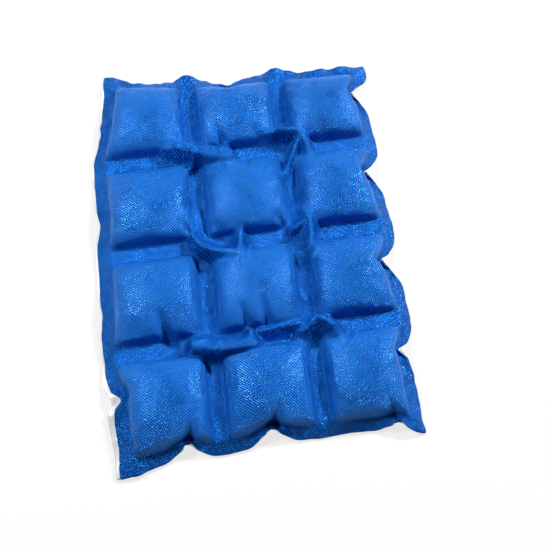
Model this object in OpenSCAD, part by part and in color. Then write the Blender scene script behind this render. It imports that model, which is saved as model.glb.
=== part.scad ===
// Reusable ice pack: a flexible blanket of gel-filled cells. Two laminated sheets are heat-welded
// in a grid, so each cell swells into its own small pillow. The filled cells draw the sheets in,
// and the spare web buckles up into folds where the welds cross and pinches the outer edges.
// The sealed pack is one solid. It lies flat, with the origin on the table under its middle,
// X across its width and Y along its length.

/* [Cells] */
// Number of cells across the width
columns = 3; // [2:1:4]
// Number of cells along the length
rows = 4; // [2:1:5]
// Width of a filled cell between its side welds
cell_w = 73; // [60:0.5:85]
// Length of a filled cell between its end welds
cell_l = 73.5; // [60:0.5:90]
// Height of a cell's crown above the plane of the welds
crown_h = 20; // [10:0.5:24]
// Depth to which a cell would hang under the plane of the welds if no table flattened it
belly_h = 16; // [12:0.5:22]
// Fullness of a cell: a low number gives steep sides and a flat crown, a high one a soft dome
fullness = 0.4; // [0.3:0.01:0.6]

/* [Welds] */
// Width of the welds that run along the length
column_weld = 12.5; // [8:0.5:18]
// Width of the welds that run across the width
row_weld = 15; // [8:0.5:18]
// Width of the welded margin down the left side
left_margin = 15.5; // [10:0.5:20]
// Width of the welded margin down the right side, where it tucks under
right_margin = 8; // [7:0.5:14]
// Width of the welded margin at the near end
near_margin = 12; // [8:0.5:16]
// Width of the welded margin at the far end
far_margin = 13; // [8:0.5:16]
// Thickness of the two sheets where they are welded together
weld_t = 0.8; // [0.5:0.1:1.5]
// Height of the plane of the welds above the table
weld_z = 9; // [7.5:0.5:11]

/* [Folds and edges] */
// Height above the table of the folds that stand up where welds cross
fold_top = 29; // [14:0.5:31]
// Width of the folds' slopes, as a share of those listed below
slope_share = 1.4; // [0.8:0.05:1.6]
// Depth of the pinches that the drawn-in edge closes into, as a share of those listed below
pinch_share = 1; // [0:0.05:1.1]
// Half the width of such a pinch
pinch_half_w = 13; // [9:0.5:16]
// How far the free edge of the margin hangs below the plane of the welds
edge_droop = 5; // [0:0.5:6]
// How far the ends of the column welds stand up in the far margin
far_lift = 10; // [0:0.5:12]
// Share by which the right side is shorter and the left side longer than the middle
taper = 0.034; // [0:0.002:0.05]
// Depth of the creases in the cells, as a share of those listed below
crease_share = 1; // [0:0.05:1.1]
// Depth of the gathers along a cell's welds
gather_d = 0.8; // [0:0.1:1.5]

/* [Hidden] */

// Steps of the surface mesh across a cell, a weld and a margin
cell_steps = 10;
weld_steps = 5;
margin_steps = 3;

// Folds for each crossing of the welds, from the near left to the far right. Each fold has the
// points of its crest, in mm from the crossing with a share of the fold height, then the half
// width of its flat top, and the widths of its slopes to the left and right of the crest's course.
fold_forms = [
    [
        [[[-11, -4, 0.9], [11, -9, 1], [33, -8, 0.97]], 5.5, 7, 8],
        [[[34, 2, 1], [33, -21, 0.76]], 1.5, 5, 8]
    ],
    [
        [[[-9, -3, 0.7], [5, 7, 0.97], [16, 0, 0.97], [27, -19, 0.62]], 2, 6, 16],
        [[[-42, 3, 0.59], [-10, 5, 0.7]], 1.5, 7, 7]
    ],
    [
        [[[-9, 31, 0.45], [-8, 10, 0.7], [-1, -6, 0.93], [13, -14, 1], [31, -17, 0.97]], 1.5, 14, 6],
        [[[35, 3, 0.93], [32, -19, 0.9]], 2.5, 5, 8]
    ],
    [
        [[[11, 15, 1], [9, -19, 0.93]], 1.5, 5, 20],
        [[[-4, 3, 0.72], [11, 8, 1]], 2, 7, 7]
    ],
    [
        [[[-21, 15, 0.72], [-9, 11, 0.93], [10, 4, 0.97], [31, -4, 0.93]], 4.5, 6, 8],
        [[[30, 8, 0.97], [30, -17, 0.7]], 1, 5, 10],
        [[[6, 1, 0.7], [-4, -11, 0.55]], 0.5, 6, 6]
    ],
    [
        [[[-23, 14, 0.7], [-6, 14, 0.9], [14, 10, 1], [20, -11, 0.8]], 2.5, 7, 7],
        [[[13, 8, 1], [-6, -29, 0.52]], 0.5, 11, 5]
    ]
];
// Creases: cell from the near left, start and end in half cells from its middle, depth at the
// start and half width in mm
creases = [
    [0, [-1.3, 0.15], [-0.55, 0.5], 6, 7],
    [0, [0.45, -1], [0.6, -0.4], 7, 7],
    [1, [0.05, -1], [0.05, -0.3], 7, 7],
    [2, [0.45, -1.2], [0.35, -0.7], 6, 7],
    [3, [0.15, -1.1], [-0.1, -0.3], 9, 7],
    [4, [-0.25, -1.1], [-0.5, -0.3], 6, 6],
    [4, [0.15, -0.9], [0, -0.1], 6, 6],
    [10, [-0.4, -0.9], [-0.6, -0.3], 7, 6]
];
// Pinch beside each cell on the left and right (near to far) and on the near and far ends (left
// to right): place in half cells from the cell's middle, and depth in mm
left_pinch = [[0.1, 8], [0, 2], [-0.2, 3], [0, 3]];
right_pinch = [[0.5, 10], [0.3, 17], [0.3, 18], [0.2, 17]];
near_pinch = [[0.45, 14], [0.05, 16], [0.45, 9]];
far_pinch = [[-0.25, 9], [-0.1, 12], [-0.1, 3]];
// Share of a pinch that also dents the cell beside it
pinch_dent = 0.5;
// How far each corner stands out across and along: near left, near right, far left, far right
corners = [[-12, 4], [-7.5, 8], [-18, 8.5], [-1.5, 1]];
// Waves of gathers in a half cell, and how far they reach in from the weld, in half cells
gather_waves = 2.5;
gather_reach = 0.4;

pitch_x = cell_w + column_weld;
pitch_y = cell_l + row_weld;
grid_x = columns * cell_w + (columns - 1) * column_weld;
grid_y = rows * cell_l + (rows - 1) * row_weld;

function cycled(list, index) = list[index % len(list)];
function clamped(v, low = 0, high = 1) = min(max(v, low), high);
function bell(t) = abs(t) < 1 ? (1 + cos(180 * t)) / 2 : 0;
function arch(t) = max(0, 1 - t * t);
function smooth(t) = t * t * (3 - 2 * t);

// The mesh lines across one direction: margin, cells with welds between them, margin.
// Lines in a cell crowd towards its welds, where the sheet is steepest.
function crowded(t) = (t + sin(90 * t)) / 2;
function lines(count, cell, weld, low_margin, high_margin) =
    let (half = (count * cell + (count - 1) * weld) / 2)
    concat(
        [for (k = [0:margin_steps - 1]) -half - low_margin * (1 - k / margin_steps)],
        [for (c = [0:count - 1])
            let (middle = -half + cell / 2 + c * (cell + weld))
            each concat(
                [for (k = [0:cell_steps]) middle + cell / 2 * crowded(2 * k / cell_steps - 1)],
                c < count - 1
                    ? [for (k = [1:weld_steps - 1]) middle + cell / 2 + weld * k / weld_steps]
                    : []
            )],
        [for (k = [1:margin_steps]) half + high_margin * k / margin_steps]
    );

// The number of the cell nearest to a coordinate, and where in that cell the coordinate lies:
// from -1 at one weld to 1 at the other, and beyond that in a weld or margin
function cell_number(v, count, pitch) = clamped(round(v / pitch + (count - 1) / 2), 0, count - 1);
function in_cell(v, count, pitch, cell) =
    (v - (cell_number(v, count, pitch) - (count - 1) / 2) * pitch) / (cell / 2);

// How far out a coordinate lies in the outermost cell, and how far out in the margin: from 0 to 1
function outness(v, grid, cell) = clamped((abs(v) - grid / 2) / cell + 1);
function in_margin(v, grid, margin) = clamped((abs(v) - grid / 2) / margin);

// The tent over a line from a to b: its height where the tent stands at a point, and 0 elsewhere.
// A third coordinate of the ends gives the height at each of them.
function tent(x, y, a, b, top, left_slope, right_slope) =
    let (
        ux = b[0] - a[0],
        uy = b[1] - a[1],
        share = clamped(((x - a[0]) * ux + (y - a[1]) * uy) / (ux * ux + uy * uy)),
        ox = x - a[0] - share * ux,
        oy = y - a[1] - share * uy,
        slope = ux * oy > uy * ox ? left_slope : right_slope
    )
    (a[2] + share * (b[2] - a[2])) * smooth(clamped(1 - (norm([ox, oy]) - top) / slope));

// Height that the folds add to the welds at a point of the drawn-in sheet
function fold_lift(x, y) = max(0, max([0, for (i = [0:columns - 2], j = [0:rows - 2])
    let (
        dx = x - (i + 1 - columns / 2) * pitch_x,
        dy = y - (j + 1 - rows / 2) * pitch_y
    )
    if (abs(dx) < 60 && abs(dy) < 50)
    for (fold = cycled(fold_forms, i + j * (columns - 1)), k = [0:len(fold[0]) - 2])
        tent(dx, dy, fold[0][k], fold[0][k + 1], fold[1],
            fold[2] * slope_share, fold[3] * slope_share)]) * fold_top - weld_z);

// Depth of the creases at a place in a cell
function crease_depth(column, row, u, v) = crease_share * max([0, for (c = creases)
    if (c[0] == column + row * columns)
        tent(u * cell_w / 2, v * cell_l / 2,
            [c[1][0] * cell_w / 2, c[1][1] * cell_l / 2, c[3]],
            [c[2][0] * cell_w / 2, c[2][1] * cell_l / 2, 0], 0, c[4], c[4])]);

// Depth of a pinch, at a distance along the edge from its cell's middle: how far it dents the
// cell, and how far it closes the margin, which keeps at least 1.5 mm of its width
function pinch_dents(pinch, along, cell, out) =
    pinch_share * pinch[1] * pinch_dent * bell((along - pinch[0] * cell / 2) / pinch_half_w)
    * clamped(out / 0.4 - 1.5);
function pinch_closes(pinch, along, cell, margin, edge) =
    min(pinch_share * pinch[1] * (1 - pinch_dent), margin - 1.5)
    * bell((along - pinch[0] * cell / 2) / pinch_half_w) * edge;

// How near a coordinate lies to the middle of the nearest column weld: from 0 to 1
function weld_end(x) = max([0, for (i = [1:columns - 1]) bell((x - (i - columns / 2) * pitch_x) / 14)]);

// Waves along a cell's welds, deepest at the weld and gone in the crown
function gathers(u, v) =
    gather_d * (cos(360 * gather_waves * v) * clamped((abs(u) - 1) / gather_reach + 1) * arch(v)
    + cos(360 * gather_waves * u) * clamped((abs(v) - 1) / gather_reach + 1) * arch(u));

// One point of the sheets: across, along, top and bottom
function sheet_point(x, y) =
    let (
        column = cell_number(x, columns, pitch_x),
        row = cell_number(y, rows, pitch_y),
        u = in_cell(x, columns, pitch_x, cell_w),
        v = in_cell(y, rows, pitch_y, cell_l),
        dome = pow(arch(u) * arch(v), fullness),
        margin_x = x < 0 ? left_margin : right_margin,
        margin_y = y < 0 ? near_margin : far_margin,
        out_x = outness(x, grid_x, cell_w),
        out_y = outness(y, grid_y, cell_l),
        edge_x = in_margin(x, grid_x, margin_x),
        edge_y = in_margin(y, grid_y, margin_y),
        side = cycled(x < 0 ? left_pinch : right_pinch, row),
        end = cycled(y < 0 ? near_pinch : far_pinch, column),
        pinch_x = pinch_dents(side, v * cell_l / 2, cell_l, out_x)
            + pinch_closes(side, v * cell_l / 2, cell_l, margin_x, edge_x),
        pinch_y = pinch_dents(end, u * cell_w / 2, cell_w, out_y)
            + pinch_closes(end, u * cell_w / 2, cell_w, margin_y, edge_y),
        corner = corners[(x < 0 ? 0 : 1) + (y < 0 ? 0 : 2)],
        away = out_x * out_y,
        middle = weld_z - edge_droop * max(edge_x, edge_y)
            + 0.8 * (pinch_x * edge_x + pinch_y * edge_y)
            + (y > 0 ? far_lift * edge_y * weld_end(x) : 0),
        lift = fold_lift(x, y),
        wave = dome > 0 ? gathers(u, v) * sqrt(dome) : 0,
        raised = lift > 0 ? weld_z + lift : 0,
        sheet = max(middle, raised),
        bottom = max(0, sheet - weld_t / 2 - (belly_h + lift) * dome),
        top = max(middle + crown_h * dome, raised) + weld_t / 2 + wave
            - crease_depth(column, row, u, v)
    )
    [
        x + sign(x) * (corner[0] * away - pinch_x),
        y * (1 - taper * x / (grid_x / 2)) + sign(y) * (corner[1] * away - pinch_y),
        max(top, bottom + weld_t),
        bottom
    ];

module ice_pack() {
    xs = lines(columns, cell_w, column_weld, left_margin, right_margin);
    ys = lines(rows, cell_l, row_weld, near_margin, far_margin);
    nx = len(xs);
    ny = len(ys);
    sheet = [for (y = ys, x = xs) sheet_point(x, y)];
    // The margins differ, so the middle of the pack isn't the middle of its grid of cells
    across = (max([for (p = sheet) p[0]]) + min([for (p = sheet) p[0]])) / 2;
    along = (max([for (p = sheet) p[1]]) + min([for (p = sheet) p[1]])) / 2;
    count = nx * ny;
    points = concat(
        [for (p = sheet) [p[0] - across, p[1] - along, p[2]]],
        [for (p = sheet) [p[0] - across, p[1] - along, p[3]]]
    );
    // The open border of the sheets, once round, anticlockwise from above
    border = concat(
        [for (i = [0:nx - 2]) i],
        [for (j = [0:ny - 2]) j * nx + nx - 1],
        [for (i = [nx - 1:-1:1]) (ny - 1) * nx + i],
        [for (j = [ny - 1:-1:1]) j * nx]
    );
    faces = concat(
        [for (j = [0:ny - 2], i = [0:nx - 2])
            let (a = j * nx + i, b = a + 1, c = a + nx + 1, d = a + nx)
            each [[a, c, b], [a, d, c], [a + count, b + count, c + count], [a + count, c + count, d + count]]],
        [for (k = [0:len(border) - 1])
            let (a = border[k], b = border[(k + 1) % len(border)])
            each [[a, b, b + count], [a, b + count, a + count]]]
    );
    color("royalblue") polyhedron(points, faces);
}

ice_pack();
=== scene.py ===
import math

import bmesh
import bpy
import numpy as np
from mathutils import Matrix, Vector
from mathutils.bvhtree import BVHTree


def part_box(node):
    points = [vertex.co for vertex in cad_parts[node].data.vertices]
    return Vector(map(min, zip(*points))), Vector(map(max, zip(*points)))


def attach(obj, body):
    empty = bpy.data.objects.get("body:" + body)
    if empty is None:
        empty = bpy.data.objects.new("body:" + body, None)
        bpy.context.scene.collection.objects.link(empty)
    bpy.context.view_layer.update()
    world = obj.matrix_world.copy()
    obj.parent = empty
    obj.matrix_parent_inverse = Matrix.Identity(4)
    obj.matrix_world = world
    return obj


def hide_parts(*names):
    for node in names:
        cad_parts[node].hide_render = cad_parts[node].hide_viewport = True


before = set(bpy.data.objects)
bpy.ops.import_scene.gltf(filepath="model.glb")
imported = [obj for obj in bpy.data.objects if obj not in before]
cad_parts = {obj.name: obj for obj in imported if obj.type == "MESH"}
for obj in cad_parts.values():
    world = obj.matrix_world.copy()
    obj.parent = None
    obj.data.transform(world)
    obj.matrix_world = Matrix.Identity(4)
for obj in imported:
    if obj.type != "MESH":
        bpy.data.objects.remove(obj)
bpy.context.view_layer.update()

LOW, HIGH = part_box("ice_pack")

MM = 0.001

# The flat sheets, in millimetres: across (0) and along (1)
CUT = (285.0, 395.0)
CELLS = (3, 4)
WELD = (12.5, 15.0)
MARGIN = (10.5, 13.0)
CELL = tuple((CUT[a] - 2 * MARGIN[a] - (CELLS[a] - 1) * WELD[a]) / CELLS[a] for a in (0, 1))
MESH_STEP = 3.15
BACKING_LIP = 3.6
LEFT_EXTRA = 4.0
LEFT_EDGE = -CUT[0] / 2 - LEFT_EXTRA

# The drawn-in state that the cloth starts from: share of a cell's flat size, height of the
# welds, rise of a cell, its fullness and how far its sides bulge, how much shorter the right side is than the left, and
# how far the free edges hang. Places are in millimetres, in the frame of the photograph.
DRAWN_IN = 0.905
WELD_Z = 8.5
CELL_RISE = 20.5
FULLNESS = 0.38
BULGE = 4.0
TAPER = 0.035
EDGE_DROOP = {"left": 1.5, "right": 5.0, "near": 3.5, "far": 5.0}
LEFT_SPREAD = 3.0
RIGHT_DRAW = 2.0
END_DRAW = 2.0
SIDE_IN = 4.5
FAR_IN = 5.0
TUCKED = {"left": 0.0, "right": 0.2, "near": 0.05, "far": 0.0}
FAR_LIFT = 10.0
FAR_RIGHT_LIFT = 8.0
RESTING_Z = 0.5
FRAME_SHIFT = (3.0, -3.0)

# Folds that stand up from the welds: points of the crest (x, y, z), half width of its flat top,
# width of the slope to the left of the crest's course and to the right
FOLDS = [
    ([(-64, 101, 21), (-52, 96.5, 27), (-33, 88.5, 28), (-12, 81.5, 27)], 6.5, 5, 5.5),
    ([(-12.4, 96, 28), (-12.8, 71, 20)], 1, 5, 10),
    ([(-36.5, 89, 20), (-47, 76.8, 16)], 0.5, 6, 6),
    ([(19.7, 102.6, 20), (36.5, 102.6, 26), (57, 98, 29), (62.8, 77, 23)], 2.5, 7, 7),
    ([(56, 96, 29), (37, 59, 15)], 0.5, 11, 5),
    ([(-52, 31, 13), (-51, 10, 20), (-44, -6, 27), (-30, -14, 29), (-12, -17.5, 28)], 1.5, 14, 6),
    ([(-7.8, 3, 27), (-10.3, -19, 26)], 2.5, 5, 8),
    ([(53.5, 15, 29), (52.4, -19, 27)], 1.5, 5, 20),
    ([(39, 3, 21), (54, 8, 29)], 2, 7, 7),
    ([(-54, -92, 26), (-31.4, -97, 29), (-10, -96.7, 28)], 5.5, 7, 8),
    ([(-9, -86, 29), (-10, -109, 22)], 1.5, 5, 8),
    ([(33, -91, 20), (48, -81.5, 28), (58.7, -88.4, 28), (69.6, -107, 18)], 2, 6, 16),
    ([(0.3, -85.3, 17), (32.7, -83, 20)], 1.5, 7, 7),
]
# Creases in the tops of the cells: start at the weld, end in the cell, depth at the start, half
# width
CREASES = [
    ((-75, -90), (-88, -54), 12, 7), ((-8, -87), (-19, -52), 8, 5.5), ((6, -78), (0, -46), 8, 6),
    ((-13.5, 97), (-22, 123), 9, 5), ((-136, -130), (-103, -116), 9, 7), ((-69.5, -172), (-58, -140), 10, 6),
    ((1.4, -170), (6, -140), 10, 6), ((101.6, -178), (92, -152), 8, 5), ((67.5, -107), (78, -86), 5, 4),
    ((-48, -90), (-60, -70), 6, 3.5), ((-40, -90), (-46, -72), 5, 3), ((47, 60), (56, 40), 5, 4),
    ((30, 10), (20, 26), 6, 4.5), ((-52, 12), (-64, 26), 5, 4), ((112, -176), (110, -158), 6, 4),
    ((-50, 100), (-60, 114), 5, 3.5), ((20, 98), (12, 112), 5, 3.5), ((98, -8), (88, 8), 4, 4),
    ((-98, -6), (-104, 12), 3, 4), ((40, -78), (34, -60), 5, 3.5), ((-110, 92), (-112, 108), 3, 3.5),
    ((-24, 6), (-30, 22), 4, 3.5), ((74, 96), (82, 110), 3, 3.5),
]
# Pinches in the outer margin: side, place along it, depth of the wide bay, depth of the narrow
# notch at its head
PINCHES = [
    ("right", 139, 12, 7), ("right", 54, 12, 8), ("right", -34, 12, 8), ("right", -115, 6, 7),
    ("left", -128, 5, 5), ("left", 36, 2, 1), ("left", 130, 2, 1), ("left", -92, 2, 0),
    ("near", -69, 8, 6), ("near", -1, 9, 5), ("near", 101, 6, 4),
    ("far", -95, 7, 3), ("far", -3, 9, 5), ("far", 80, 2, 1),
]
BAY_HALF_W = 22.0
NOTCH_HALF_W = 7.5
# Depth of the gathers, share of each crease that the cloth starts with, and how much the crests
# of the folds are sharpened
GATHER = 0.35
CREASE_SEED = 0.5
CREST = 1.6
# How far each corner moves from the drawn-in grid: side and end, across, along
CORNERS = {(-1, 1): (13.5, 9.5), (1, 1): (1, 1), (-1, -1): (11, -4), (1, -1): (-5, -8)}

# The cloth is simulated at ten times its size, where the solver is steadier
SIM_SCALE = 10.0
SIM_FRAMES = 8
GEL_PRESSURE = 8.0
REST_SHARE = 1.04
CELL_BENDING = 1.5
WELD_BENDING = 6.0
STRETCH = 40.0
DAMPING = 15.0

COVER_T = 0.35 * MM
BACKING_T = 0.25 * MM


def new_object(name, bm):
    mesh = bpy.data.meshes.new(name)
    bm.to_mesh(mesh)
    bm.free()
    obj = bpy.data.objects.new(name, mesh)
    bpy.context.scene.collection.objects.link(obj)
    return obj


# The two sheets, flat and then drawn in

def clamped(v, low=0.0, high=1.0):
    return min(max(v, low), high)


def bell(t):
    return (1 + math.cos(math.pi * t)) / 2 if abs(t) < 1 else 0.0


def arch(t):
    return max(0.0, 1 - t * t)


def crisp(t):
    """Rises from 0 softly and meets 1 at an edge."""
    return t * t * (2 - t)


def stations(axis):
    """Flat coordinates of the mesh lines across one direction."""
    half = CUT[axis] / 2
    edges = [LEFT_EDGE - BACKING_LIP, LEFT_EDGE] if axis == 0 else [-half]
    at = -half + MARGIN[axis]
    for _ in range(CELLS[axis]):
        edges += [at, at + CELL[axis]]
        at += CELL[axis] + WELD[axis]
    edges.append(half)
    lines = []
    for a, b in zip(edges[:-1], edges[1:]):
        steps = max(1 if b - a < MESH_STEP else 2, round((b - a) / MESH_STEP))
        lines += [a + (b - a) * k / steps for k in range(steps)]
    return lines + [edges[-1]]


def in_cell(v, axis):
    """Number of the nearest cell, and the place in it: from -1 to 1, past that in a weld."""
    pitch = CELL[axis] + WELD[axis]
    number = int(clamped(round(v / pitch + (CELLS[axis] - 1) / 2), 0, CELLS[axis] - 1))
    return number, (v - (number - (CELLS[axis] - 1) / 2) * pitch) / (CELL[axis] / 2)


def drawn(v, axis):
    """Where a flat coordinate lies once the cells are drawn in."""
    number, u = in_cell(v, axis)
    middle = (number - (CELLS[axis] - 1) / 2) * (CELL[axis] * DRAWN_IN + WELD[axis])
    half = CELL[axis] / 2
    inside = clamped(u, -1, 1)
    return middle + half * (inside * DRAWN_IN + u - inside)


def bulging(u):
    """Share of the outward bulge at a place in a cell: most at four fifths of the way out."""
    return math.copysign(12.2 * u ** 4 * max(0.0, 1 - abs(u)), u)


def near_line(x, y, a, b):
    """Share of the way from a to b that lies nearest to a point, the distance to it, and
    whether the point lies to the left."""
    along_x, along_y = b[0] - a[0], b[1] - a[1]
    share = ((x - a[0]) * along_x + (y - a[1]) * along_y) / (along_x ** 2 + along_y ** 2)
    share = clamped(share)
    off_x, off_y = x - a[0] - share * along_x, y - a[1] - share * along_y
    return share, math.hypot(off_x, off_y), along_x * off_y > along_y * off_x


def fold_height(x, y):
    height = 0.0
    for crest, top, left_slope, right_slope in FOLDS:
        for a, b in zip(crest[:-1], crest[1:]):
            share, distance, to_left = near_line(x, y, a, b)
            above = a[2] + share * (b[2] - a[2]) - WELD_Z
            slope = left_slope if to_left else right_slope
            height = max(height, above * crisp(clamped(1 - (distance - top) / slope)))
    return height


def crease_depth(x, y):
    depth = 0.0
    for a, b, deepest, half_w in CREASES:
        share, distance, _ = near_line(x, y, a, b)
        depth = max(depth, deepest * (1 - share) * clamped(1 - distance / half_w))
    return depth


def flat_sheets():
    """Both sheets in one mesh. They share the welds and part inside each cell."""
    xs, ys = stations(0), stations(1)
    bm = bmesh.new()
    bmesh.ops.create_grid(bm, x_segments=len(xs) - 1, y_segments=len(ys) - 1, size=1.0)
    flat = bm.verts.layers.float_vector.new("flat")
    side = bm.verts.layers.int.new("side")
    sheet = bm.faces.layers.int.new("sheet")
    for v in bm.verts:
        i = round((v.co.x + 1) / 2 * (len(xs) - 1))
        j = round((v.co.y + 1) / 2 * (len(ys) - 1))
        v.co = (xs[i], ys[j], 0)
        v[flat] = v.co

    def place(co):
        return in_cell(co.x, 0)[1], in_cell(co.y, 1)[1]

    def at_corner(co):
        return all(abs(abs(u) - 1) < 1e-6 for u in place(co))

    for f in bm.faces:
        u, v = place(f.calc_center_median())
        if max(abs(u), abs(v)) < 1 and not any(at_corner(w.co) for w in f.verts):
            f[sheet] = 1
    for v in bm.verts:
        if all(f[sheet] == 1 for f in v.link_faces):
            v[side] = 1
    copied = bmesh.ops.duplicate(bm, geom=[f for f in bm.faces if f[sheet] == 1])["geom"]
    under = [g for g in copied if isinstance(g, bmesh.types.BMFace)]
    for f in under:
        f[sheet] = 2
    for v in (g for g in copied if isinstance(g, bmesh.types.BMVert)):
        v[side] = -v[side]
    bmesh.ops.reverse_faces(bm, faces=under)
    bmesh.ops.remove_doubles(bm, verts=[v for v in bm.verts if v[side] == 0], dist=1e-5)

    cut = bm.loops.layers.uv.new("cut")
    for f in bm.faces:
        for loop in f.loops:
            loop[cut].uv = loop.vert[flat].xy * MM
    return bm


def pinches(x, y, px, py, depth_at, half_w):
    """How far the pinches draw a point in across and along."""
    drawn_x = drawn_y = 0.0
    for pinch in PINCHES:
        across = pinch[0] in ("left", "right")
        axis = 0 if across else 1
        v = (x, y)[axis]
        if (v > 0) != (pinch[0] in ("right", "far")):
            continue
        edge = clamped((abs(v) - CUT[axis] / 2) / MARGIN[axis] + 1)
        out = clamped((abs(v) - CUT[axis] / 2 + MARGIN[axis]) / CELL[axis] + 1)
        reach = max(edge, 0.35 * clamped(out / 0.4 - 1.5))
        depth = pinch[depth_at] * reach * bell(((py if across else px) - pinch[1]) / half_w)
        drawn_x += depth if across else 0
        drawn_y += 0 if across else depth
    return drawn_x, drawn_y


def lip_drawn(x, y):
    """The lip of the backing shows as a narrow line, widest towards the near end."""
    outside = clamped((LEFT_EDGE - x) / BACKING_LIP)
    return BACKING_LIP * outside * (0.45 - 1.1 * bell(clamped((y + 150) / 75, -1, 1)))


def draw_in(bm):
    """Moves the flat sheets to the state that the cloth starts from."""
    flat, side = bm.verts.layers.float_vector["flat"], bm.verts.layers.int["side"]
    seeded = np.random.RandomState(3)
    for v in bm.verts:
        x, y = v[flat].x, v[flat].y
        u, w = in_cell(x, 0)[1], in_cell(y, 1)[1]
        dome = (arch(u) * arch(w)) ** FULLNESS
        end_x, end_y = math.copysign(1, x), math.copysign(1, y)
        out_x = clamped((abs(x) - CUT[0] / 2 + MARGIN[0]) / CELL[0] + 1)
        out_y = clamped((abs(y) - CUT[1] / 2 + MARGIN[1]) / CELL[1] + 1)
        edge_x = clamped((abs(x) - CUT[0] / 2) / MARGIN[0] + 1)
        edge_y = clamped((abs(y) - CUT[1] / 2) / MARGIN[1] + 1)
        px = drawn(x, 0) + lip_drawn(x, y) - (RIGHT_DRAW * arch(w) if x > 0 else LEFT_SPREAD) * out_x
        py = drawn(y, 1) - end_y * END_DRAW * out_y * arch(u)
        py *= 1 - TAPER * px * 2 / CUT[0]
        corner = CORNERS[(end_x, end_y)]
        px -= end_x * TUCKED["right" if x > 0 else "left"] * edge_x * MARGIN[0]
        py -= end_y * TUCKED["far" if y > 0 else "near"] * edge_y * MARGIN[1]
        px -= SIDE_IN * out_x ** 2 * (1 - edge_x) if x > 0 else 0
        py -= FAR_IN * out_y ** 2 * (1 - edge_y) if y > 0 else 0
        px += corner[0] * out_x * out_y
        py += corner[1] * out_x * out_y
        lift, crease = fold_height(px, py), CREASE_SEED * crease_depth(px, py)
        droops = EDGE_DROOP["right" if x > 0 else "left"], EDGE_DROOP["far" if y > 0 else "near"]
        pz = WELD_Z - max(droops[0] * edge_x, droops[1] * edge_y)
        if y > 0:
            at_weld = bell((abs(px) - (CELL[0] * DRAWN_IN + WELD[0]) / 2) / 14)
            pz += edge_y * max(FAR_LIFT * at_weld, FAR_RIGHT_LIFT * bell(clamped((px - 85) / 60, -1, 1)))
        in_x, in_y = pinches(x, y, px, py, 2, BAY_HALF_W)
        px, py, pz = px - end_x * in_x, py - end_y * in_y, pz + 0.8 * (in_x + in_y)
        raised = WELD_Z + lift if lift > 0 else 0.0
        if v[side] > 0:
            px += BULGE * bulging(u) * dome
            py += BULGE * bulging(w) * dome
        if v[side] >= 0:
            pz = max(pz + CELL_RISE * dome, raised) - crease
        else:
            pz = max(RESTING_Z, max(pz, raised) - (12 + lift) * dome)
        v.co = Vector((px, py, pz + seeded.normal(0, 0.1))) * MM * SIM_SCALE


def fill_cells(bm):
    """Lets the gel's pressure fill the cells as cloth, and returns the settled mesh."""
    flat, side = bm.verts.layers.float_vector["flat"], bm.verts.layers.int["side"]
    cut_shape = [Vector((v[flat].x, v[flat].y, 0)) * MM * SIM_SCALE * REST_SHARE for v in bm.verts]
    groups = {
        "gel": [v.index for v in bm.verts if v[side] != 0],
        "weld": [v.index for v in bm.verts if v[side] == 0],
    }
    pack = new_object("filling", bm)
    pack.shape_key_add(name="drawn_in")
    key = pack.shape_key_add(name="cut_flat")
    key.data.foreach_set("co", [c for p in cut_shape for c in p])
    key.value = 0
    for name, members in groups.items():
        pack.vertex_groups.new(name=name).add(members, 1.0, "REPLACE")

    table = bmesh.new()
    bmesh.ops.create_grid(table, x_segments=1, y_segments=1, size=SIM_SCALE / 2)
    table = new_object("sim_table", table)
    table.modifiers.new("Collision", "COLLISION")
    table.collision.cloth_friction = 5
    table.collision.thickness_outer = 0.001

    cloth = pack.modifiers.new("Cloth", "CLOTH")
    s = cloth.settings
    s.quality = 6
    s.mass = 0.3
    s.tension_stiffness = s.compression_stiffness = STRETCH
    s.shear_stiffness = STRETCH / 2
    s.bending_stiffness = CELL_BENDING
    s.vertex_group_bending = "weld"
    s.bending_stiffness_max = WELD_BENDING
    s.tension_damping = s.compression_damping = s.shear_damping = DAMPING
    s.bending_damping = 5
    s.air_damping = 5
    s.rest_shape_key = key
    s.use_pressure = True
    s.uniform_pressure_force = GEL_PRESSURE
    s.vertex_group_pressure = "gel"
    s.effector_weights.gravity = 0.3
    cloth.collision_settings.distance_min = 0.005
    cloth.collision_settings.collision_quality = 3
    cloth.collision_settings.use_self_collision = False

    scene = bpy.context.scene
    scene.frame_start, scene.frame_end = 1, SIM_FRAMES
    for at in range(1, SIM_FRAMES + 1):
        scene.frame_set(at)
    settled = bpy.data.meshes.new_from_object(
        pack.evaluated_get(bpy.context.evaluated_depsgraph_get())
    )
    scene.frame_set(1)
    for obj in (pack, table):
        bpy.data.objects.remove(obj)
    return settled


def set_in_frame(mesh):
    """Brings the settled mesh back to its real size, in the CAD solid's box."""
    co = np.empty(len(mesh.vertices) * 3)
    mesh.vertices.foreach_get("co", co)
    co = co.reshape(-1, 3)
    lip = np.array([v.vector.x for v in mesh.attributes["flat"].data]) < LEFT_EDGE - 1e-3
    low, high = co[~lip].min(0), co[~lip].max(0)
    room = np.array(HIGH - LOW)
    co = (co - low) / (high - low) * room + np.array(LOW)
    mesh.vertices.foreach_set("co", co.ravel())
    mesh.update()


# The pieces

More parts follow.
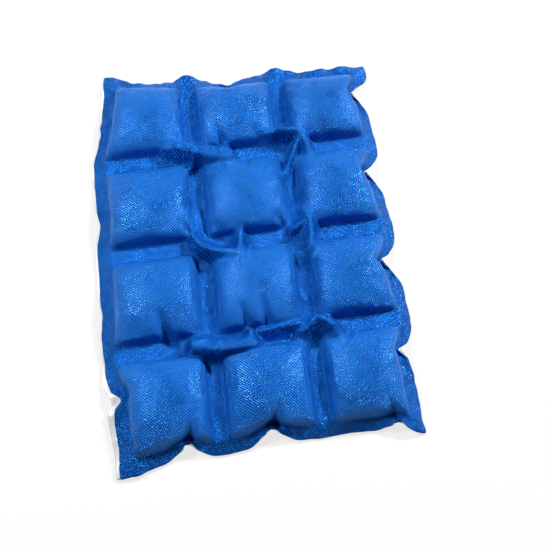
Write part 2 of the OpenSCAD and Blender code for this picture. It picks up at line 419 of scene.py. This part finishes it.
def sheet_of(settled, name, sheet_number, with_lip, thickness):
    """One of the two sheets as a thin shell of its own, cut from the settled mesh."""
    bm = bmesh.new()
    bm.from_mesh(settled)
    sheet = bm.faces.layers.int["sheet"]
    flat = bm.verts.layers.float_vector["flat"]
    crease = bm.edges.layers.float.new("crease_edge")

    def unwanted(f):
        on_lip = min(v[flat].x for v in f.verts) < LEFT_EDGE - 1e-3
        return f[sheet] not in (0, sheet_number) or (on_lip and not with_lip)

    bmesh.ops.delete(bm, geom=[f for f in bm.faces if unwanted(f)], context="FACES")
    for e in bm.edges:
        if len(e.link_faces) == 2 and e.link_faces[0][sheet] != e.link_faces[1][sheet]:
            e[crease] = 0.35
    if sheet_number == 2:
        bmesh.ops.reverse_faces(bm, faces=[f for f in bm.faces if f[sheet] == 0])
    for f in bm.faces:
        f.smooth = True
    coarse = new_object("coarse", bm)
    finer = coarse.modifiers.new("finer", "SUBSURF")
    finer.levels = finer.render_levels = 1
    finer.uv_smooth = "NONE"
    fine = bpy.data.meshes.new_from_object(
        coarse.evaluated_get(bpy.context.evaluated_depsgraph_get())
    )
    bpy.data.objects.remove(coarse)

    bm = bmesh.new()
    bm.from_mesh(fine)
    bpy.data.meshes.remove(fine)
    sharpen(bm, sheet_number == 1)
    sheet = bm.faces.layers.int["sheet"]
    weld = bm.verts.layers.float.new("weld")
    for v in bm.verts:
        v[weld] = sum(f[sheet] == 0 for f in v.link_faces) / len(v.link_faces)
    obj = new_object(name, bm)
    shell = obj.modifiers.new("thickness", "SOLIDIFY")
    shell.thickness = thickness
    shell.offset = 1.0
    shell.use_even_offset = False
    return obj


def sharpen(bm, on_top):
    """Presses the creases, the gathers, the crests and the narrow notches into one fine sheet."""
    flat = bm.verts.layers.float_vector["flat"]
    for v in bm.verts:
        x, y = v[flat].x, v[flat].y
        u, w = in_cell(x, 0)[1], in_cell(y, 1)[1]
        px, py = v.co.x / MM - FRAME_SHIFT[0], v.co.y / MM - FRAME_SHIFT[1]
        in_x, in_y = (d * (1 if on_top else 0.45) for d in pinches(x, y, px, py, 3, NOTCH_HALF_W))
        rise = 0.6 * (in_x + in_y)
        if on_top:
            inside = min(1.0, 10 * (1 - max(abs(u), abs(w)))) if max(abs(u), abs(w)) < 1 else 0.0
            rise += CREST * crest_nearness(px, py)
            rise -= (1 - CREASE_SEED) * crease_depth(px, py) * inside
            rise += inside * gathers(u, w, x, y)
        v.co += Vector((-math.copysign(in_x, x), -math.copysign(in_y, y), rise)) * MM
        v.co.z = clamped(v.co.z, LOW.z + (COVER_T if on_top else 0.0), HIGH.z)


def crest_nearness(x, y):
    near = 0.0
    for crest, top, _, _ in FOLDS:
        for a, b in zip(crest[:-1], crest[1:]):
            near = max(near, clamped((top + 2.2 - near_line(x, y, a, b)[1]) / 2.2))
    return near


def gathers(u, w, x, y):
    """Small puckers that stand square to a cell's seams, deepest beside them."""
    near_side, near_end = clamped(abs(u) / 0.4 - 1.5), clamped(abs(w) / 0.4 - 1.5)
    wave_y = math.sin(y / 1.9 + 2.1 * math.sin(y / 11 + x / 40)) + 0.6 * math.sin(y / 3.3 + x / 25)
    wave_x = math.sin(x / 2.1 + 2.3 * math.sin(x / 12 + y / 40)) + 0.6 * math.sin(x / 3.6 + y / 25)
    return GATHER * (wave_y * near_side * arch(w) + wave_x * near_end * arch(u))


# Materials

class Nodes:
    """A short way to write node trees."""

    def __init__(self, tree):
        self.tree = tree

    def add(self, kind, inputs=(), **settings):
        node = self.tree.nodes.new(kind)
        for name, value in settings.items():
            setattr(node, name, value)
        for name, value in dict(inputs).items():
            if isinstance(value, bpy.types.NodeSocket):
                self.tree.links.new(value, node.inputs[name])
            else:
                node.inputs[name].default_value = value
        return node

    def math(self, operation, *values):
        return self.add("ShaderNodeMath", enumerate(values), operation=operation).outputs[0]

    def vector(self, operation, *values):
        return self.add("ShaderNodeVectorMath", enumerate(values), operation=operation).outputs[0]

    def mix(self, factor, a, b):
        node = self.add("ShaderNodeMix", {0: factor, 6: a, 7: b}, data_type="RGBA")
        return node.outputs[2]

    def ramp(self, value, low, high, out_low=0.0, out_high=1.0):
        inputs = {0: value, 1: low, 2: high, 3: out_low, 4: out_high}
        return self.add("ShaderNodeMapRange", inputs).outputs[0]


def group_of(name, inputs, outputs):
    tree = bpy.data.node_groups.new(name, "ShaderNodeTree")
    for label, kind, default in inputs:
        socket = tree.interface.new_socket(label, in_out="INPUT", socket_type=kind)
        if default is not None:
            socket.default_value = default
    for label, kind in outputs:
        tree.interface.new_socket(label, in_out="OUTPUT", socket_type=kind)
    n = Nodes(tree)
    return tree, n, n.add("NodeGroupInput"), n.add("NodeGroupOutput")


def emboss_group():
    """Raised dots in diagonal rows. Pitch is the distance between rows, in metres."""
    tree, n, gin, out = group_of(
        "emboss",
        [("Vector", "NodeSocketVector", None), ("Pitch", "NodeSocketFloat", 0.0012)],
        [("Height", "NodeSocketFloat")],
    )
    xyz = n.add("ShaderNodeSeparateXYZ", {0: gin.outputs["Vector"]})
    turns = n.math("DIVIDE", math.pi, gin.outputs["Pitch"])
    waves = [n.math("SINE", n.math("MULTIPLY", xyz.outputs[k], turns)) for k in (0, 1)]
    dots = n.math("MULTIPLY", *waves)
    tree.links.new(n.ramp(dots, -0.7, 0.7), out.inputs["Height"])
    return tree


def grain_group():
    """Uneven grains that the welding press leaves in the fabric, and a mask of grains with painted glints. Pitch in
    metres.
    """
    tree, n, gin, out = group_of(
        "grain",
        [("Vector", "NodeSocketVector", None), ("Pitch", "NodeSocketFloat", 0.0017)],
        [("Height", "NodeSocketFloat"), ("GlossAndPaintedGlint", "NodeSocketFloat")],
    )
    scale = n.math("DIVIDE", 1.0, gin.outputs["Pitch"])
    grains = n.add(
        "ShaderNodeTexVoronoi", {"Vector": gin.outputs["Vector"], "Scale": scale, "Randomness": 0.7}
    )
    tree.links.new(n.ramp(grains.outputs["Distance"], 0.15, 0.6, 1.0, 0.0), out.inputs["Height"])
    lot = n.add("ShaderNodeSeparateXYZ", {0: grains.outputs["Color"]}).outputs[0]
    near = n.ramp(grains.outputs["Distance"], 0.12, 0.3, 1.0, 0.0)
    tree.links.new(n.math("MULTIPLY", n.ramp(lot, 0.42, 0.6), near), out.inputs["GlossAndPaintedGlint"])
    return tree


def damp_group():
    """Patches that water has soaked. Mask is 1 where the sheet is wet."""
    tree, n, gin, out = group_of(
        "damp", [("Vector", "NodeSocketVector", None)], [("Mask", "NodeSocketFloat")]
    )
    noise = n.add("ShaderNodeTexNoise", {"Vector": gin.outputs["Vector"], "Scale": 38.0, "Detail": 4.0})
    tree.links.new(n.ramp(noise.outputs[0], 0.5, 0.66), out.inputs["Mask"])
    return tree


def material(name):
    mat = bpy.data.materials.new(name)
    mat.use_nodes = True
    mat.node_tree.nodes.clear()
    n = Nodes(mat.node_tree)
    shader = n.add("ShaderNodeBsdfPrincipled")
    out = n.add("ShaderNodeOutputMaterial")
    mat.node_tree.links.new(shader.outputs[0], out.inputs[0])
    return mat, n, shader


def cover_material(emboss, grain, damp):
    mat, n, shader = material("embossed_nonwoven")
    link = mat.node_tree.links.new
    cut = n.add("ShaderNodeUVMap", uv_map="cut").outputs[0]
    weld = n.add("ShaderNodeAttribute", attribute_name="weld").outputs["Fac"]
    on_weld = n.ramp(weld, 0.2, 0.8)
    dots = n.add("ShaderNodeGroup", {"Vector": cut}, node_tree=emboss).outputs[0]
    grains = n.add("ShaderNodeGroup", {"Vector": cut}, node_tree=grain)
    fibres = n.add("ShaderNodeTexNoise", {"Vector": cut, "Scale": 900.0, "Detail": 3.0}).outputs[0]
    cloudy = n.add("ShaderNodeTexNoise", {"Vector": cut, "Scale": 22.0, "Detail": 3.0}).outputs[0]
    wet = n.add("ShaderNodeGroup", {"Vector": cut}, node_tree=damp).outputs[0]

    pressed = n.add("ShaderNodeMix", {0: 0.45, 2: dots, 3: grains.outputs["Height"]}).outputs[0]
    pattern = n.add("ShaderNodeMix", {0: on_weld, 2: dots, 3: pressed}).outputs[0]
    relief = n.math("ADD", pattern, n.math("MULTIPLY", fibres, 0.6))
    bump = n.add("ShaderNodeBump", {"Height": relief, "Strength": 1.0, "Distance": 0.0005})
    link(bump.outputs[0], shader.inputs["Normal"])

    # Painted light and shade: the tops of the embossed dots and weld grains are painted a lit blue, and the hollows
    # between them a darker shaded blue; the cloudy share is random tone
    hollow_shade_blue, lit = (0.0001, 0.015, 0.15, 1), (0.012, 0.25, 1.0, 1)
    relief_shade_and_tone = n.math("ADD", n.math("MULTIPLY", pattern, 0.85), n.math("MULTIPLY", cloudy, 0.15))
    relief_shaded_blue = n.mix(n.ramp(relief_shade_and_tone, 0.2, 0.8), hollow_shade_blue, lit)
    soaked = n.mix(n.math("MULTIPLY", wet, 0.2), relief_shaded_blue, (0.0002, 0.035, 0.27, 1))
    # Painted glints: the masked grains, most on the welds, are painted a pale cyan in the base colour, and the same
    # mask lowers their roughness
    gloss_and_painted_glint = n.math("MULTIPLY", grains.outputs["GlossAndPaintedGlint"], n.ramp(weld, 0.0, 0.5, 0.3, 1.0))
    link(n.mix(n.math("MULTIPLY", gloss_and_painted_glint, 0.85), soaked, (0.07, 0.5, 1.0, 1)), shader.inputs["Base Color"])
    rough = n.ramp(fibres, 0.3, 0.7, 0.27, 0.42)
    damped = n.math("SUBTRACT", rough, n.math("MULTIPLY", wet, 0.1))
    link(n.math("SUBTRACT", damped, n.math("MULTIPLY", gloss_and_painted_glint, 0.14)), shader.inputs["Roughness"])
    shader.inputs["Metallic"].default_value = 0.3
    link(n.ramp(weld, 0.0, 1.0, 0.55, 0.2), shader.inputs["Specular IOR Level"])
    shader.inputs["Specular Tint"].default_value = (0.2, 0.85, 1.0, 1)
    link(n.ramp(weld, 0.0, 1.0, 0.2, 0.03), shader.inputs["Coat Weight"])
    shader.inputs["Coat Roughness"].default_value = 0.15
    shader.inputs["Coat IOR"].default_value = 1.45
    link(bump.outputs[0], shader.inputs["Coat Normal"])
    return mat


def backing_material(damp):
    mat, n, shader = material("white_film")
    link = mat.node_tree.links.new
    cut = n.add("ShaderNodeUVMap", uv_map="cut").outputs[0]
    wet = n.add("ShaderNodeGroup", {"Vector": cut}, node_tree=damp).outputs[0]
    cloudy = n.add("ShaderNodeTexNoise", {"Vector": cut, "Scale": 30.0, "Detail": 4.0}).outputs[0]
    link(n.mix(cloudy, (0.84, 0.87, 0.9, 1), (0.93, 0.94, 0.95, 1)), shader.inputs["Base Color"])
    link(n.ramp(wet, 0.0, 1.0, 0.38, 0.2), shader.inputs["Roughness"])
    crinkle = n.add("ShaderNodeTexNoise", {"Vector": cut, "Scale": 120.0, "Detail": 4.0}).outputs[0]
    bump = n.add("ShaderNodeBump", {"Height": crinkle, "Strength": 0.4, "Distance": 0.0006})
    link(bump.outputs[0], shader.inputs["Normal"])
    return mat


def water_material():
    mat, n, shader = material("water")
    where = n.add("ShaderNodeTexCoord").outputs["Object"]
    ripple = n.add("ShaderNodeTexNoise", {"Vector": where, "Scale": 400.0}).outputs[0]
    bump = n.add("ShaderNodeBump", {"Height": ripple, "Strength": 0.1, "Distance": 0.0002})
    mat.node_tree.links.new(bump.outputs[0], shader.inputs["Normal"])
    shader.inputs["Base Color"].default_value = (0.9, 0.96, 1.0, 1)
    shader.inputs["Roughness"].default_value = 0.03
    shader.inputs["IOR"].default_value = 1.33
    shader.inputs["Transmission Weight"].default_value = 1.0
    return mat


# Camera, in the photograph's frame

PHOTO_SIZE = 550
FOCAL_PX = 900.0
CENTRE_PX = (251.0, 246.0)
CAMERA_DISTANCE = 0.804
CAMERA_TURN, CAMERA_TILT, CAMERA_ROLL = (math.radians(a) for a in (-1.4, 24.5, -5.5))


def photo_camera():
    back = Vector((
        math.sin(CAMERA_TURN) * math.sin(CAMERA_TILT),
        -math.cos(CAMERA_TURN) * math.sin(CAMERA_TILT),
        math.cos(CAMERA_TILT),
    ))
    level = Vector((math.cos(CAMERA_TURN), math.sin(CAMERA_TURN), 0))
    upright = back.cross(level)
    cos, sin = math.cos(CAMERA_ROLL), math.sin(CAMERA_ROLL)
    right, up = level * cos + upright * sin, upright * cos - level * sin
    data = bpy.data.cameras.new("camera")
    data.sensor_width = 36
    data.lens = data.sensor_width * FOCAL_PX / PHOTO_SIZE
    data.shift_x = (PHOTO_SIZE / 2 - CENTRE_PX[0]) / PHOTO_SIZE
    data.shift_y = (CENTRE_PX[1] - PHOTO_SIZE / 2) / PHOTO_SIZE
    camera = bpy.data.objects.new("camera", data)
    bpy.context.scene.collection.objects.link(camera)
    placed = Matrix((right, up, back)).transposed().to_4x4()
    placed.translation = back * CAMERA_DISTANCE + Vector((*FRAME_SHIFT, 0)) * MM
    camera.matrix_world = placed
    bpy.context.scene.camera = camera
    return camera


def ray_through(camera, pixel):
    """Start and direction of the line of sight through a pixel of the photograph."""
    sight = Vector((
        (pixel[0] - CENTRE_PX[0]) / FOCAL_PX, (CENTRE_PX[1] - pixel[1]) / FOCAL_PX, -1.0
    ))
    return camera.matrix_world.translation, camera.matrix_world.to_3x3() @ sight


# Water drops

DROP_PIXELS = [
    (340, 180), (345, 190), (341, 231), (349, 225), (350, 258), (354, 262), (173, 235), (292, 200),
    (294, 203), (204, 183), (206, 207), (249, 155), (265, 150), (350, 141), (106, 159), (176, 152),
    (230, 243), (289, 238), (152, 255), (165, 252), (270, 328), (292, 334), (352, 320), (370, 375),
]
SCATTERED_DROPS = 190


def dew(camera, cover):
    """Small clear drops on the cover: those that show best, and others scattered."""
    seeded = np.random.RandomState(11)
    tree = BVHTree.FromObject(cover, bpy.context.evaluated_depsgraph_get())
    spots = []
    for pixel in DROP_PIXELS:
        hit, normal, _, _ = tree.ray_cast(*ray_through(camera, pixel))
        if hit:
            spots.append((hit, normal, seeded.uniform(1.2, 1.9)))
    while len(spots) < len(DROP_PIXELS) + SCATTERED_DROPS:
        x, y = (seeded.uniform(LOW[a] * 0.95, HIGH[a] * 0.95) for a in (0, 1))
        hit, normal, _, _ = tree.ray_cast(Vector((x, y, 1)), Vector((0, 0, -1)))
        if hit and normal.z > 0.5 and hit.z < LOW.z + (HIGH.z - LOW.z) * seeded.uniform(0.3, 1.1):
            spots.append((hit, normal, seeded.uniform(0.4, 1.0)))
    bm = bmesh.new()
    for hit, normal, radius in spots:
        turn = normal.to_track_quat("Z", "Y").to_matrix().to_4x4()
        flatten = Matrix.Diagonal((1.0, seeded.uniform(0.8, 1.1), 0.55, 1.0))
        place = Matrix.Translation(hit + normal * radius * MM * 0.15) @ turn @ flatten
        bmesh.ops.create_icosphere(bm, subdivisions=2, radius=radius * MM, matrix=place)
    for f in bm.faces:
        f.smooth = True
    return new_object("dew_drops", bm)


# Floor, lights and world

def floor():
    bm = bmesh.new()
    bmesh.ops.create_grid(bm, x_segments=1, y_segments=1, size=3.0)
    obj = new_object("floor", bm)
    mat, n, shader = material("pale_floor")
    shader.inputs["Base Color"].default_value = (0.8, 0.8, 0.8, 1)
    shader.inputs["Roughness"].default_value = 0.8
    path = n.add("ShaderNodeLightPath")
    seen = n.math("MAXIMUM", path.outputs["Is Camera Ray"], path.outputs["Is Transmission Ray"])
    glow = n.add("ShaderNodeEmission", {"Color": (1, 1, 1, 1), "Strength": 1.0})
    blend = n.add("ShaderNodeMixShader", {0: n.math("MULTIPLY", seen, 0.75)})
    link = mat.node_tree.links.new
    link(shader.outputs[0], blend.inputs[1])
    link(glow.outputs[0], blend.inputs[2])
    out = next(x for x in mat.node_tree.nodes if x.type == "OUTPUT_MATERIAL")
    link(blend.outputs[0], out.inputs[0])
    obj.data.materials.append(mat)


def area_light(name, place, power, size):
    data = bpy.data.lights.new(name, "AREA")
    data.energy, data.size = power, size
    obj = bpy.data.objects.new(name, data)
    bpy.context.scene.collection.objects.link(obj)
    obj.location = place
    obj.rotation_euler = (-Vector(place)).to_track_quat("-Z", "Y").to_euler()


def studio():
    area_light("key", (1.6, 1.0, 1.5), 68, 0.25)
    area_light("fill", (-0.9, 0.45, 1.35), 22, 0.35)
    world = bpy.data.worlds.new("studio")
    bpy.context.scene.world = world
    world.use_nodes = True
    world.node_tree.nodes.clear()
    n = Nodes(world.node_tree)
    path = n.add("ShaderNodeLightPath")
    plain = n.add("ShaderNodeBackground", {"Color": (0.75, 0.86, 1, 1), "Strength": 0.035})
    white = n.add("ShaderNodeBackground", {"Color": (1, 1, 1, 1), "Strength": 1.0})
    seen = n.math("MAXIMUM", path.outputs["Is Camera Ray"], path.outputs["Is Transmission Ray"])
    blend = n.add("ShaderNodeMixShader", {0: seen, 1: plain.outputs[0], 2: white.outputs[0]})
    out = n.add("ShaderNodeOutputWorld")
    world.node_tree.links.new(blend.outputs[0], out.inputs[0])


def main():
    camera = photo_camera()
    sheets = flat_sheets()
    draw_in(sheets)
    settled = fill_cells(sheets)
    set_in_frame(settled)
    cover = sheet_of(settled, "cover_sheet", 1, False, COVER_T)
    backing = sheet_of(settled, "backing_film", 2, True, BACKING_T)
    drops = dew(camera, cover)

    damp = damp_group()
    cover.data.materials.append(cover_material(emboss_group(), grain_group(), damp))
    backing.data.materials.append(backing_material(damp))
    drops.data.materials.append(water_material())

    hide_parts("ice_pack")
    for piece, slot in ((cover, "cover_fabric"), (backing, "backing_film"), (drops, "water")):
        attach(piece, "root")
    floor()
    studio()
    bpy.context.scene.view_settings.view_transform = "Standard"


main()
